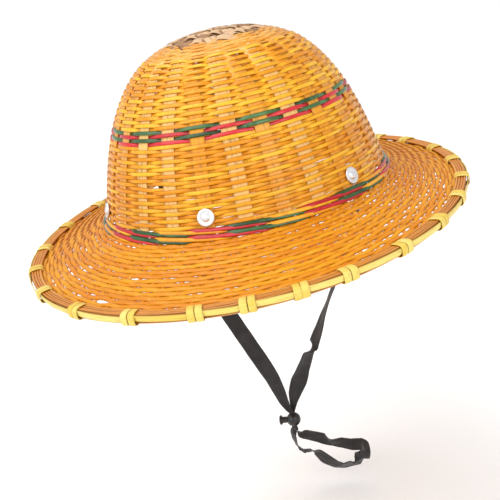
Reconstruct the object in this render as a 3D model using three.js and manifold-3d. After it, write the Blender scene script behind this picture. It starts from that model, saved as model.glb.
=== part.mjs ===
// Woven bamboo helmet with a ribbon chin strap. Millimetres, +Z up, front towards -Y.
// The origin is the middle of the head opening, level with the lower coloured band.
// The hat is drawn round, as radius and height, and ovalPoint makes it longer than it is wide.

import * as THREE from 'three';
import { mergeVertices } from 'three/addons/utils/BufferGeometryUtils.js';
import Module from 'manifold-3d';

// ---- driving dimensions ----

const gap = 0.3; // between neighbouring pieces
const weave = 3.0; // thickness of the woven wall
const ringSteps = 48; // facets round every hoop and wall

// crown: half its width at the lower band, and the extra half length towards front and back
const crownHalfWidth = 107.4;
const crownHeight = 117;
const crownRoundness = 3.24;
const crownTaper = 0.26;
const crownOval = 0.1;

// brim: how much longer than wide it is, how far it sits forward and how its front droops
const brimLonger = 25;
const brimForward = 6;
const frontDroop = 6;
const rimStart = 150; // from this radius outwards the plan no longer changes
const brimHeight = -17.2; // middle of the weave at the rim
const brimCurve = 1.4; // how fast the brim levels out

// coloured bands
const bandRow = 2.5;
const upperBandMiddle = 62;
const upperBandHalf = 2 * bandRow;
const bandProud = 0.4;
const lowerBandHalf = 4.2;
const lowerBandBulge = 1.0;

// top: coiled rows round a lattice of crossing strips
const coilLow = 105.4; // heights between which the coil follows the crown's shoulder
const coilHigh = 114;
const latticeRadius = 40;
const latticeTop = 118;
const latticeRise = 8.9;
const stripWidth = 8.6;
const stripThickness = 1.0;
const stripLayer = 0.7; // height of one crossing layer above the next
const stripPitch = 15.5;
const stripGroups = [
  { turn: 0, places: [-2, -1, 0, 1, 2] },
  { turn: 60, places: [-1.75, -0.75, 0.25, 1.25] },
  { turn: 120, places: [-1.25, -0.25, 0.75, 1.75] },
];

// rim: four rods above the weave's edge, a hoop below it, an outer strip and the lashings
const rodCount = 4;
const rodRadius = 0.95;
const rimInner = 155.7;
const rimWeave = 2.0; // thickness of the weave's edge between rods and hoop
const hoopHeight = 2.0;
const stripInner = 163.5;
const edgeStripThickness = 1.2;
const edgeStripHeight = 4.6;
const lashThickness = 0.8;
const lashWidth = 9.0;
const lashClearance = 0.5;
const lashAngles = [
  2, 13, 24, 34.5, 49, 63, 77, 90, 104.5, 118.5, 133, 145, 159,
  173, 187, 200, 213, 226, 238, 250, 266, 282, 297, 313.5, 331, 347,
]; // degrees round from the front, towards +X

// rivets
const rivetHeight = 11;
const rivetAngles = [
  { name: 'rivet_front', angle: 0 },
  { name: 'rivet_front_right', angle: 58 },
  { name: 'rivet_back_right', angle: 122, holdsStrap: true },
  { name: 'rivet_back', angle: 180 },
  { name: 'rivet_back_left', angle: 238, holdsStrap: true },
  { name: 'rivet_front_left', angle: 302 },
];
const capRadius = 5.4;
const capThickness = 1.1;
const domeRadius = 2.8;
const domeHeight = 1.4;
const postRadius = 1.6;
const washerRadius = 4.6;
const washerThickness = 0.9;
const washerSeat = 0.6; // the wall's curve stands this far inside its tangent under the washer
const rivetSteps = 8;

// chin strap: a flat ribbon that runs from one rivet down through the bead, round a loose
// loop below it and back up through the bead to the other rivet
const ribbonWidth = 15;
const ribbonThickness = 1.2;
const ribbonTopTail = 7; // of ribbon above the rivet that holds it
const ribbonSeat = 1; // between the wall and the flat ribbon, which spans the wall's curve
const beadCentre = new THREE.Vector3(-16, 56, -239);
const beadRadius = 6.5;
const beadHole = 2.8;
const knobReach = 11.5;

// Routes of the ribbon. x, y, z: middle of the ribbon. lean: direction of its width in the
// X-Z plane, from +X up towards +Z. depth: that direction turned towards -Y. wide, thick: the
// section, narrower and thicker where the ribbon is gathered to pass through the bead.
const leftLimb = [
  { x: -83.0, y: 57.5, z: -25, lean: 0, depth: -52, wide: 15, thick: 1.2 },
  { x: -79.4, y: 57.3, z: -45, lean: 1, depth: -45, wide: 15, thick: 1.2 },
  { x: -74.5, y: 57.0, z: -65, lean: 2, depth: -38, wide: 15, thick: 1.2 },
  { x: -69.6, y: 56.8, z: -82, lean: 2, depth: -29, wide: 15, thick: 1.2 },
  { x: -64.0, y: 56.5, z: -100, lean: 3, depth: -20, wide: 15, thick: 1.2 },
  { x: -59.4, y: 56.2, z: -114.5, lean: 3, depth: -10, wide: 15, thick: 1.2 },
  { x: -54.5, y: 56.0, z: -129, lean: 4, depth: 0, wide: 15, thick: 1.2 },
  { x: -47.3, y: 56.0, z: -147, lean: 8, depth: 0, wide: 15, thick: 1.2 },
  { x: -40.2, y: 56.0, z: -164, lean: 15, depth: 0, wide: 15, thick: 1.2 },
  { x: -33.2, y: 56.0, z: -181, lean: 18, depth: 0, wide: 15, thick: 1.2 },
  { x: -27.6, y: 56.0, z: -196, lean: 14, depth: 8, wide: 14.5, thick: 1.3 },
  { x: -24.0, y: 55.5, z: -209, lean: 14, depth: 14, wide: 13, thick: 1.4 },
  { x: -21.5, y: 55.0, z: -219, lean: 20, depth: 10, wide: 10, thick: 1.6 },
  { x: -18.0, y: 54.4, z: -228.5, lean: 16, depth: 6, wide: 5.2, thick: 2.2 },
  { x: -16.2, y: 55.0, z: -232.6, lean: 0, depth: 0, wide: 3.4, thick: 1.7 },
  { x: -16.0, y: 55.0, z: -238.8, lean: 0, depth: 0, wide: 3.4, thick: 1.7 },
];
const rightLimb = [
  { x: 81.5, y: 57.0, z: -22, lean: 0, depth: 62, wide: 15, thick: 1.2 },
  { x: 75.0, y: 56.6, z: -42, lean: -2, depth: 66, wide: 15, thick: 1.2 },
  { x: 67.0, y: 56.0, z: -62, lean: -5, depth: 70, wide: 15, thick: 1.2 },
  { x: 59.4, y: 55.5, z: -79, lean: -12, depth: 74, wide: 15, thick: 1.2 },
  { x: 51.0, y: 55.0, z: -96, lean: -20, depth: 78, wide: 15, thick: 1.2 },
  { x: 43.6, y: 54.5, z: -111, lean: -30, depth: 80, wide: 15, thick: 1.2 },
  { x: 35.5, y: 54.0, z: -126, lean: -40, depth: 82, wide: 15, thick: 1.2 },
  { x: 29.0, y: 53.0, z: -139, lean: -40, depth: 72, wide: 15, thick: 1.2 },
  { x: 22.5, y: 52.0, z: -153, lean: -18, depth: 60, wide: 15, thick: 1.2 },
  { x: 18.0, y: 51.2, z: -161.5, lean: 8, depth: 50, wide: 15, thick: 1.2 },
  { x: 16.6, y: 51.0, z: -164.5, lean: 10, depth: 50, wide: 15, thick: 1.2 },
  { x: 14.6, y: 51.0, z: -167.2, lean: 10, depth: 88, wide: 15, thick: 1.2 },
  { x: 12.2, y: 51.2, z: -169.6, lean: 8, depth: 130, wide: 15, thick: 1.2 },
  { x: 9.0, y: 51.6, z: -175, lean: 4, depth: 134, wide: 15, thick: 1.2 },
  { x: 1.4, y: 54.0, z: -190, lean: 8, depth: 150, wide: 15, thick: 1.2 },
  { x: -4.6, y: 56.0, z: -202, lean: -4, depth: 176, wide: 14.5, thick: 1.3 },
  { x: -10.0, y: 57.2, z: -213, lean: 4, depth: 168, wide: 12, thick: 1.4 },
  { x: -13.2, y: 58.0, z: -222, lean: 6, depth: 172, wide: 7.5, thick: 1.8 },
  { x: -14.8, y: 58.2, z: -228.5, lean: 0, depth: 174, wide: 4.8, thick: 2.2 },
  { x: -15.9, y: 57.0, z: -232.6, lean: 0, depth: 180, wide: 3.4, thick: 1.7 },
  { x: -16.0, y: 57.0, z: -238.8, lean: 0, depth: 180, wide: 3.4, thick: 1.7 },
];
const strapLoop = [
  { x: -16.0, y: 55.0, z: -239.2, lean: 0, depth: 0, wide: 3.4, thick: 1.7 },
  { x: -15.9, y: 55.0, z: -245.4, lean: 0, depth: 0, wide: 3.4, thick: 1.7 },
  { x: -14.9, y: 54.5, z: -250.0, lean: 0, depth: 50, wide: 7, thick: 1.4 },
  { x: -11.5, y: 53.0, z: -252.5, lean: -5, depth: 68, wide: 12, thick: 1.2 },
  { x: -6.0, y: 52.0, z: -253.5, lean: -12, depth: 80, wide: 15, thick: 1.2 },
  { x: 4.0, y: 51.5, z: -256.5, lean: -30, depth: 77, wide: 15, thick: 1.2 },
  { x: 10.5, y: 52.0, z: -259.5, lean: -42, depth: 72, wide: 15, thick: 1.2 },
  { x: 15.0, y: 54.0, z: -264.5, lean: 30, depth: 70, wide: 15, thick: 1.2 },
  { x: 24.0, y: 54.0, z: -265.5, lean: -20, depth: 78, wide: 15, thick: 1.2 },
  { x: 33.5, y: 54.5, z: -268.5, lean: -48, depth: 74, wide: 15, thick: 1.2 },
  { x: 41.5, y: 56.0, z: -270.0, lean: -66, depth: 78, wide: 15, thick: 1.2 },
  { x: 42.8, y: 58.0, z: -275.0, lean: -180, depth: 60, wide: 15, thick: 1.2 },
  { x: 41.0, y: 59.6, z: -280.0, lean: -184, depth: 22, wide: 15, thick: 1.2 },
  { x: 39.0, y: 61.0, z: -287.5, lean: -190, depth: 20, wide: 15, thick: 1.2 },
  { x: 35.8, y: 62.0, z: -291.0, lean: -204, depth: 58, wide: 15, thick: 1.2 },
  { x: 31.5, y: 63.5, z: -293.5, lean: -220, depth: 32, wide: 15, thick: 1.2 },
  { x: 26.0, y: 65.5, z: -296.0, lean: -250, depth: 42, wide: 15, thick: 1.2 },
  { x: 20.5, y: 66.5, z: -298.0, lean: -290, depth: 40, wide: 15, thick: 1.2 },
  { x: 12.5, y: 66.5, z: -296.0, lean: -300, depth: 30, wide: 15, thick: 1.2 },
  { x: 4.0, y: 66.0, z: -289.5, lean: -312, depth: 22, wide: 15, thick: 1.2 },
  { x: -2.5, y: 65.5, z: -281.0, lean: -318, depth: 34, wide: 15, thick: 1.2 },
  { x: -8.0, y: 65.0, z: -278.5, lean: -312, depth: 62, wide: 15, thick: 1.2 },
  { x: -14.5, y: 64.0, z: -278.0, lean: -308, depth: 66, wide: 14, thick: 1.2 },
  { x: -19.0, y: 62.0, z: -272.0, lean: -315, depth: 64, wide: 14, thick: 1.2 },
  { x: -20.3, y: 60.0, z: -264.0, lean: -325, depth: 58, wide: 13, thick: 1.2 },
  { x: -19.8, y: 58.3, z: -255.5, lean: -342, depth: 46, wide: 9, thick: 1.4 },
  { x: -17.8, y: 57.6, z: -249.6, lean: -360, depth: 15, wide: 5, thick: 1.8 },
  { x: -16.2, y: 57.0, z: -245.4, lean: -360, depth: 0, wide: 3.4, thick: 1.7 },
  { x: -16.0, y: 57.0, z: -239.2, lean: -360, depth: 0, wide: 3.4, thick: 1.7 },
];

// ---- finishes ----

function finish(color, roughness, metalness = 0) {
  return new THREE.MeshStandardMaterial({ color, roughness, metalness });
}

const colours = {
  crown: 0xf0a43a,
  brim: 0xe89a45,
  bands: 0x8a4a3a,
  lattice: 0xcbb994,
  rods: 0xd4914a,
  lashing: 0xecd874,
  steel: 0xe6e8ec,
  ribbon: 0x302b2a,
  bead: 0x151515,
};

// ---- the oval plan ----

const radians = THREE.MathUtils.degToRad;

// How much longer than wide the plan is, as an extra half length.
function extraLength(radius) {
  if (radius <= crownHalfWidth) return crownOval * radius;
  const reach = Math.min(1, (radius - crownHalfWidth) / (rimStart - crownHalfWidth));
  return THREE.MathUtils.lerp(crownOval * crownHalfWidth, brimLonger, reach);
}

function ovalPoint(radius, angle, height) {
  const reach = THREE.MathUtils.clamp((radius - crownHalfWidth) / (rimStart - crownHalfWidth), 0, 1);
  return new THREE.Vector3(
    radius * Math.sin(angle),
    -(radius + extraLength(radius)) * Math.cos(angle) - brimForward * reach,
    height - frontDroop * reach * Math.cos(angle),
  );
}

// Outer radius of the crown at a height above the lower band.
function crownRadius(height) {
  const rise = height / crownHeight;
  const dome = (1 - Math.max(rise, 0) ** crownRoundness) ** (1 / crownRoundness);
  return crownHalfWidth * dome * (1 - crownTaper * rise);
}

// Unit normal of the crown's outline, as radius and height.
function crownNormal(height) {
  const step = 0.5;
  const run = crownRadius(height + step) - crownRadius(height - step);
  return new THREE.Vector2(2 * step, -run).normalize();
}

// Height of the middle of the brim's weave.
const brimTop = -lowerBandHalf - gap;
const brimInner = crownHalfWidth + 3.4;

function brimMiddle(radius) {
  const share = THREE.MathUtils.clamp((radius - brimInner) / (rimInner - brimInner), 0, 1);
  return brimHeight + (brimTop - brimHeight) * (1 - share) ** brimCurve;
}

// ---- solids ----

// A hoop or wall from a closed outline of [radius, height] rows, anticlockwise.
function ovalRing(outline) {
  const points = [...outline, outline[0]].map(([radius, height]) => new THREE.Vector2(radius, height));
  const ring = new THREE.LatheGeometry(points, ringSteps);
  const place = ring.getAttribute('position');
  for (let i = 0; i < place.count; i += 1) {
    const radius = Math.hypot(place.getX(i), place.getZ(i));
    const angle = Math.atan2(place.getX(i), place.getZ(i));
    const moved = ovalPoint(radius, angle, place.getY(i));
    place.setXYZ(i, moved.x, moved.y, moved.z);
  }
  ring.computeVertexNormals();
  return ring;
}

// Outline of the crown's wall between two heights, in so many steps, standing a little proud.
function wallOutline(low, high, steps, proud = 0) {
  const outer = [];
  const inner = [];
  for (let i = 0; i <= steps; i += 1) {
    const height = THREE.MathUtils.lerp(low, high, i / steps);
    const radius = crownRadius(height);
    const normal = crownNormal(height);
    outer.push([radius + proud * normal.x, height + proud * normal.y]);
    inner.unshift([radius - weave * normal.x, height - weave * normal.y]);
  }
  return [...outer, ...inner];
}

const wasm = await Module();
wasm.setup();

function toSolid(geometry) {
  const bare = geometry.clone();
  bare.deleteAttribute('normal');
  bare.deleteAttribute('uv');
  const welded = mergeVertices(bare, 1e-4);
  return new wasm.Manifold(new wasm.Mesh({
    numProp: 3,
    vertProperties: new Float32Array(welded.getAttribute('position').array),
    triVerts: new Uint32Array(welded.getIndex().array),
  }));
}

function toGeometry(solid) {
  const mesh = solid.getMesh();
  const geometry = new THREE.BufferGeometry();
  geometry.setAttribute('position', new THREE.BufferAttribute(mesh.vertProperties, 3));
  geometry.setIndex(new THREE.BufferAttribute(mesh.triVerts, 1));
  geometry.computeVertexNormals();
  return geometry;
}

function cut(geometry, tools) {
  return toGeometry(tools.reduce((solid, tool) => solid.subtract(toSolid(tool)), toSolid(geometry)));
}

// Place on the crown's wall: the outer surface, the outward direction, the way down and along
// the wall, and how thick the wall is there.
function wallPlace(angle, height) {
  const turn = radians(angle);
  const step = 0.01;
  const point = ovalPoint(crownRadius(height), turn, height);
  const along = ovalPoint(crownRadius(height), turn + step, height).sub(point);
  const upward = ovalPoint(crownRadius(height + 1), turn, height + 1).sub(point).normalize();
  const outward = new THREE.Vector3().crossVectors(along, upward).normalize();
  const normal = crownNormal(height);
  const inside = ovalPoint(crownRadius(height) - weave * normal.x, turn, height - weave * normal.y);
  const thick = point.clone().sub(inside).dot(outward);
  return { point, outward, down: upward.negate(), along: along.normalize(), thick };
}

// A rivet along +Y: cap with a raised middle, post through the wall, washer inside.
function rivetGeometry(grip) {
  const capBase = gap;
  const inside = -grip - washerSeat;
  const profile = [
    [0, inside - washerThickness],
    [washerRadius, inside - washerThickness],
    [washerRadius, inside],
    [postRadius, inside],
    [postRadius, capBase],
    [capRadius, capBase],
    [capRadius - 0.5, capBase + capThickness],
    [domeRadius, capBase + capThickness],
    [domeRadius * 0.6, capBase + capThickness + domeHeight * 0.8],
    [0, capBase + capThickness + domeHeight],
  ];
  return new THREE.LatheGeometry(profile.map(([x, y]) => new THREE.Vector2(x, y)), rivetSteps);
}

// The strip lattice closing the top: crossing strips bent over a dome, joined into one piece.
function latticeGeometry() {
  const strips = [];
  stripGroups.forEach(({ turn, places }, layer) => {
    places.forEach((place) => {
      const offset = place * stripPitch;
      const length = 2 * Math.sqrt(latticeRadius ** 2 - offset ** 2);
      const strip = new THREE.BoxGeometry(length, stripWidth, stripThickness, 4, 1, 1);
      strip.translate(0, offset, 0);
      strip.rotateZ(radians(turn));
      const spots = strip.getAttribute('position');
      for (let i = 0; i < spots.count; i += 1) {
        const reach = Math.hypot(spots.getX(i), spots.getY(i)) / latticeRadius;
        const dome = latticeTop - stripThickness / 2 - latticeRise * reach ** 2;
        spots.setY(i, spots.getY(i) * (1 + crownOval));
        spots.setZ(i, spots.getZ(i) + dome - (stripGroups.length - 1 - layer) * stripLayer);
      }
      strips.push(toSolid(strip));
    });
  });
  return toGeometry(strips.reduce((all, strip) => all.add(strip)));
}

// A flat ribbon through rows of middle point, width direction and section.
function ribbonGeometry(rows) {
  const corners = [[-1, -1], [1, -1], [1, 1], [-1, 1]];
  const spots = [];
  rows.forEach((row, i) => {
    const ahead = rows[Math.min(i + 1, rows.length - 1)].middle;
    const behind = rows[Math.max(i - 1, 0)].middle;
    const tangent = ahead.clone().sub(behind).normalize();
    const normal = new THREE.Vector3().crossVectors(tangent, row.across).normalize();
    const across = new THREE.Vector3().crossVectors(normal, tangent).normalize();
    corners.forEach(([side, face]) => {
      const spot = row.middle.clone();
      spot.addScaledVector(across, (side * row.wide) / 2);
      spot.addScaledVector(normal, (face * row.thick) / 2);
      spots.push(spot.x, spot.y, spot.z);
    });
  });
  const faces = [0, 2, 1, 0, 3, 2];
  for (let i = 0; i + 1 < rows.length; i += 1) {
    for (let k = 0; k < 4; k += 1) {
      const a = 4 * i + k;
      const b = 4 * i + ((k + 1) % 4);
      // both broad faces are split from the same corner, so a twist keeps them apart
      if (k === 2) faces.push(a, b, a + 4, b, b + 4, a + 4);
      else faces.push(a, b, b + 4, a, b + 4, a + 4);
    }
  }
  const last = 4 * (rows.length - 1);
  faces.push(last, last + 1, last + 2, last, last + 2, last + 3);
  const geometry = new THREE.BufferGeometry();
  geometry.setAttribute('position', new THREE.Float32BufferAttribute(spots, 3));
  geometry.setIndex(faces);
  geometry.computeVertexNormals();
  return geometry;
}

function ribbonRow({ x, y, z, lean, depth, wide, thick }) {
  const flat = Math.cos(radians(depth));
  return {
    middle: new THREE.Vector3(x, y, z),
    across: new THREE.Vector3(
      flat * Math.cos(radians(lean)),
      -Math.sin(radians(depth)),
      flat * Math.sin(radians(lean)),
    ),
    wide,
    thick,
  };
}

// The ribbon's first stretch lies against the wall, between it and the rivet's washer.
function anchorRows(angle) {
  const { point, outward, down, along, thick } = wallPlace(angle, rivetHeight);
  const depth = thick + ribbonSeat + ribbonThickness / 2;
  return [-ribbonTopTail, 0, ribbonTopTail].map((slide) => ({
    middle: point.clone().addScaledVector(outward, -depth).addScaledVector(down, slide),
    across: along.clone().negate(),
    wide: ribbonWidth,
    thick: ribbonThickness,
  }));
}

function alongWall(geometry, angle) {
  const { point, outward } = wallPlace(angle, rivetHeight);
  const turn = new THREE.Quaternion().setFromUnitVectors(new THREE.Vector3(0, 1, 0), outward);
  return geometry.applyQuaternion(turn).translate(point.x, point.y, point.z);
}

function rivetHole(angle) {
  return alongWall(new THREE.CylinderGeometry(postRadius + gap, postRadius + gap, 24, rivetSteps), angle);
}

function limbGeometry(angle, route) {
  const rows = [...anchorRows(angle), ...route.map(ribbonRow)];
  return cut(ribbonGeometry(rows), [rivetHole(angle)]);
}

// The bead: a drilled ball with a flared knob on its left.
function beadGeometry() {
  const ball = [[beadHole, -beadRadius * 0.9]];
  for (let turn = -60; turn <= 60; turn += 20) {
    ball.push([beadRadius * Math.cos(radians(turn)), beadRadius * Math.sin(radians(turn))]);
  }
  ball.push([beadHole, beadRadius * 0.9]);
  ball.push(ball[0]);
  const body = new THREE.LatheGeometry(ball.map(([x, y]) => new THREE.Vector2(x, y)), 12);
  body.rotateX(Math.PI / 2);
  const knob = new THREE.LatheGeometry([
    new THREE.Vector2(0, beadHole + 1),
    new THREE.Vector2(2.2, beadHole + 1),
    new THREE.Vector2(2.2, beadRadius + 0.6),
    new THREE.Vector2(4.2, knobReach + 1),
    new THREE.Vector2(0, knobReach + 1),
  ], 12);
  knob.rotateZ(Math.PI / 2);
  return toGeometry(toSolid(body).add(toSolid(knob)));
}

// ---- the rim's section ----

const rimMiddle = brimHeight;
const rodBase = rimMiddle + rimWeave / 2 + gap;
const rodTop = rodBase + 2 * rodRadius;
const hoopTop = rimMiddle - rimWeave / 2 - gap;

function rodOutline() {
  const outline = [[rimInner, rodBase]];
  const pitch = (stripInner - gap - rimInner) / rodCount;
  outline.push([rimInner + rodCount * pitch, rodBase]);
  for (let rod = rodCount - 1; rod >= 0; rod -= 1) {
    const middle = rimInner + (rod + 0.5) * pitch;
    outline.push([middle + pitch / 2, rodTop - rodRadius]);
    outline.push([middle, rodTop]);
  }
  outline.push([rimInner, rodTop - rodRadius]);
  return outline;
}

function hoopOutline() {
  const outer = stripInner - gap;
  return [
    [rimInner + 0.9, hoopTop],
    [rimInner + 1.8, hoopTop - hoopHeight],
    [outer - 0.9, hoopTop - hoopHeight],
    [outer, hoopTop],
  ];
}

function edgeStripOutline() {
  const low = rimMiddle - edgeStripHeight / 2 + 0.5;
  return [
    [stripInner, low],
    [stripInner + edgeStripThickness, low + 0.4],
    [stripInner + edgeStripThickness, low + edgeStripHeight - 0.4],
    [stripInner, low + edgeStripHeight],
  ];
}

function brimOutline() {
  const steps = [0, 0.15, 0.45, 1];
  const edge = stripInner - gap;
  const surface = (share, side) => {
    const radius = THREE.MathUtils.lerp(brimInner, rimInner - gap, share);
    return [radius, brimMiddle(radius) + (side * weave) / 2];
  };
  return [
    ...steps.map((share) => surface(share, -1)),
    [rimInner, rimMiddle - rimWeave / 2],
    [edge, rimMiddle - rimWeave / 2],
    [edge, rimMiddle + rimWeave / 2],
    [rimInner, rimMiddle + rimWeave / 2],
    ...steps.map((share) => surface(share, 1)).reverse(),
  ];
}

// The lower band: two ropes of strands, one above the other, where the wall turns into the brim.
function lowerBandOutline() {
  const top = crownRadius(lowerBandHalf);
  const middle = crownRadius(0) + 0.9;
  const normal = crownNormal(lowerBandHalf);
  return [
    [brimInner - weave, -lowerBandHalf],
    [brimInner - 0.6, -lowerBandHalf],
    [middle + lowerBandBulge + 0.9, -lowerBandHalf * 0.5],
    [middle, 0],
    [top + lowerBandBulge + 0.5, lowerBandHalf * 0.5],
    [top, lowerBandHalf],
    [top - weave * normal.x, lowerBandHalf - weave * normal.y],
  ];
}

// A lashing: a flat band right round the rim, as a frame pushed out along the rim.
const lashInside = rimInner - lashClearance;
const lashOutside = stripInner + edgeStripThickness + gap;
const lashLow = hoopTop - hoopHeight - gap;
const lashHigh = rodTop + gap;

function lashGeometry() {
  const frame = (grow) => [
    [lashInside - grow, lashLow - grow],
    [lashOutside + grow, lashLow - grow],
    [lashOutside + grow, lashHigh + grow],
    [lashInside - grow, lashHigh + grow],
  ];
  const toPoints = (rows) => rows.map(([x, y]) => new THREE.Vector2(x - rimInner, y - rimMiddle));
  const outline = new THREE.Shape(toPoints(frame(lashThickness)));
  outline.holes.push(new THREE.Path(toPoints(frame(0)).reverse()));
  const band = new THREE.ExtrudeGeometry(outline, { depth: lashWidth, bevelEnabled: false, steps: 1 });
  band.translate(0, 0, -lashWidth / 2);
  return band.rotateX(Math.PI / 2);
}

// Puts a piece drawn outwards along +X at the rim, at an angle from the front.
function placeAtRim(object, angle) {
  const turn = radians(angle);
  const seat = ovalPoint(rimInner, turn, rimMiddle);
  const across = new THREE.Vector2(
    Math.sin(turn) / rimInner,
    -Math.cos(turn) / (rimInner + brimLonger),
  );
  object.position.copy(seat);
  object.rotation.z = Math.atan2(across.y, across.x);
  object.updateMatrix();
  return object;
}

function lashSlot(angle) {
  const slot = new THREE.BoxGeometry(lashThickness + 2 * gap, lashWidth + 2 * gap, 4 * weave);
  slot.translate(lashInside - lashThickness / 2 - rimInner, 0, 0);
  const holder = placeAtRim(new THREE.Object3D(), angle);
  return slot.applyMatrix4(holder.matrix);
}

// ---- the helmet ----

const helmet = new THREE.Group();

function addPiece(name, geometry, material) {
  const piece = new THREE.Mesh(geometry, material);
  piece.name = name;
  helmet.add(piece);
  return piece;
}

const upperBandLow = upperBandMiddle - upperBandHalf;
const upperBandHigh = upperBandMiddle + upperBandHalf;

const crownLower = cut(
  ovalRing(wallOutline(lowerBandHalf + gap, upperBandLow - gap, 3)),
  rivetAngles.map(({ angle }) => rivetHole(angle)),
);
addPiece('crown_lower', crownLower, finish(colours.crown, 0.45));
addPiece(
  'upper_band',
  ovalRing(wallOutline(upperBandLow, upperBandHigh, 1, bandProud)),
  finish(colours.bands, 0.4),
);
addPiece(
  'crown_upper',
  ovalRing(wallOutline(upperBandHigh + gap, coilLow - gap, 4)),
  finish(colours.crown, 0.45),
);

addPiece('top_coil', ovalRing(wallOutline(coilLow, coilHigh, 3)), finish(colours.crown, 0.45));
addPiece('top_lattice', latticeGeometry(), finish(colours.lattice, 0.6));
addPiece('lower_band', ovalRing(lowerBandOutline()), finish(colours.bands, 0.4));
addPiece('brim_weave', cut(ovalRing(brimOutline()), lashAngles.map(lashSlot)), finish(colours.brim, 0.45));
addPiece('rim_rods', ovalRing(rodOutline()), finish(colours.rods, 0.45));
addPiece('rim_hoop', ovalRing(hoopOutline()), finish(colours.rods, 0.5));
addPiece('edge_strip', ovalRing(edgeStripOutline()), finish(colours.lashing, 0.5));

lashAngles.forEach((angle, index) => {
  const name = `lash_${String(index + 1).padStart(2, '0')}`;
  placeAtRim(addPiece(name, lashGeometry(), finish(colours.lashing, 0.5)), angle);
});

rivetAngles.forEach(({ name, angle, holdsStrap }) => {
  const { point, outward, thick } = wallPlace(angle, rivetHeight);
  const grip = thick + (holdsStrap ? ribbonSeat + ribbonThickness : 0);
  const rivet = addPiece(name, rivetGeometry(grip), finish(colours.steel, 0.25, 0.9));
  rivet.position.copy(point);
  rivet.quaternion.setFromUnitVectors(new THREE.Vector3(0, 1, 0), outward);
});

const ribbonFinish = finish(colours.ribbon, 0.8);
addPiece('chin_strap_left', limbGeometry(238, leftLimb), ribbonFinish);
addPiece('chin_strap_right', limbGeometry(122, rightLimb), ribbonFinish.clone());
addPiece('chin_strap_loop', ribbonGeometry(strapLoop.map(ribbonRow)), ribbonFinish.clone());

const bead = addPiece('strap_bead', beadGeometry(), finish(colours.bead, 0.2));
bead.position.copy(beadCentre);

export default helmet;
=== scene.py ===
import math

import bmesh
import bpy
import numpy as np
from mathutils import Matrix, Vector


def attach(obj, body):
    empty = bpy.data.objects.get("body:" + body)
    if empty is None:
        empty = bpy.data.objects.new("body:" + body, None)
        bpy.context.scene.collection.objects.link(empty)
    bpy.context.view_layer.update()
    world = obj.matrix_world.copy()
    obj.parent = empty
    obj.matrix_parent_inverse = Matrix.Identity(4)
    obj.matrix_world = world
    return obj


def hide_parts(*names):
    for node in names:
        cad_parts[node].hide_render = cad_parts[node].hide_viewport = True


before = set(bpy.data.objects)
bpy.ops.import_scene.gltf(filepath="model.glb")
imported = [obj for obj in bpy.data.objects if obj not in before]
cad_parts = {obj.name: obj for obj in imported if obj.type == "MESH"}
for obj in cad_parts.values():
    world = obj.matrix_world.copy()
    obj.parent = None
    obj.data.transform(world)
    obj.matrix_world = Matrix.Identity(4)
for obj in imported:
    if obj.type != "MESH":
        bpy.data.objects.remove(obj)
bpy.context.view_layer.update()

mm = 0.001
rng = np.random.default_rng(26)

# The hat is drawn round, as radius and height in millimetres, and ovalPoint stretches it.
hatForm = {
    "crownHalfWidth": 107.4,
    "crownHeight": 117.0,
    "crownRoundness": 3.24,
    "crownTaper": 0.26,
    "crownOval": 0.10,
    "brimLonger": 25.0,
    "brimForward": 6.0,
    "frontDroop": 6.0,
    "planEnds": 150.0,  # outside this radius the plan no longer changes
    "brimHeight": -17.2,
    "brimTop": -4.5,
    "brimInner": 110.8,
    "rimInner": 155.7,
    "brimCurve": 1.4,
    "stakes": 26,
    "wall": 3.0,
}


cameraPlace = {
    "spot": (0.1653, -0.62656, 0.15605),
    "azimuth": 15.44,  # from behind -Y round towards +X
    "elevation": 17.82,
    "roll": 11.99,
    "lens": 62.28,
}


def placeCamera():
    azimuth, elevation, roll = (math.radians(cameraPlace[k]) for k in ("azimuth", "elevation", "roll"))
    back = Vector((
        math.sin(azimuth) * math.cos(elevation),
        -math.cos(azimuth) * math.cos(elevation),
        math.sin(elevation),
    ))
    right = Vector((math.cos(azimuth), math.sin(azimuth), 0))
    up = back.cross(right)
    side = right * math.cos(roll) - up * math.sin(roll)
    top = up * math.cos(roll) + right * math.sin(roll)
    data = bpy.data.cameras.new("camera")
    data.lens = cameraPlace["lens"]
    data.sensor_width = 36
    camera = bpy.data.objects.new("camera", data)
    bpy.context.scene.collection.objects.link(camera)
    turn = Matrix((side, top, back)).transposed().to_4x4()
    camera.matrix_world = Matrix.Translation(cameraPlace["spot"]) @ turn
    bpy.context.scene.camera = camera


placeCamera()
print("camera placed")


def smooth(low, high, value):
    share = np.clip((value - low) / (high - low), 0, 1)
    return share * share * (3 - 2 * share)


def ovalPoint(radius, angle, height):
    form = hatForm
    half = form["crownHalfWidth"]
    reach = np.clip((radius - half) / (form["planEnds"] - half), 0, 1)
    outside = form["crownOval"] * half + (form["brimLonger"] - form["crownOval"] * half) * reach
    extra = np.where(radius <= half, form["crownOval"] * radius, outside)
    x = radius * np.sin(angle)
    y = -(radius + extra) * np.cos(angle) - form["brimForward"] * reach
    z = height - form["frontDroop"] * reach * np.cos(angle)
    return np.stack(np.broadcast_arrays(x, y, z), -1)


def toOval(spots):  # points of the round drawing to points of the hat
    radius = np.hypot(spots[..., 0], spots[..., 1])
    angle = np.arctan2(spots[..., 0], -spots[..., 1])
    return ovalPoint(radius, angle, spots[..., 2])


def crownRadius(height):
    rise = np.clip(height / hatForm["crownHeight"], -0.2, 0.9999)
    dome = (1 - np.maximum(rise, 0) ** hatForm["crownRoundness"]) ** (1 / hatForm["crownRoundness"])
    return hatForm["crownHalfWidth"] * dome * (1 - hatForm["crownTaper"] * rise)


def brimMiddle(radius):
    inner, outer = hatForm["brimInner"], hatForm["rimInner"]
    share = np.clip((radius - inner) / (outer - inner), 0, 1)
    low, high = hatForm["brimHeight"], hatForm["brimTop"]
    return low + (high - low) * (1 - share) ** hatForm["brimCurve"]


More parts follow.
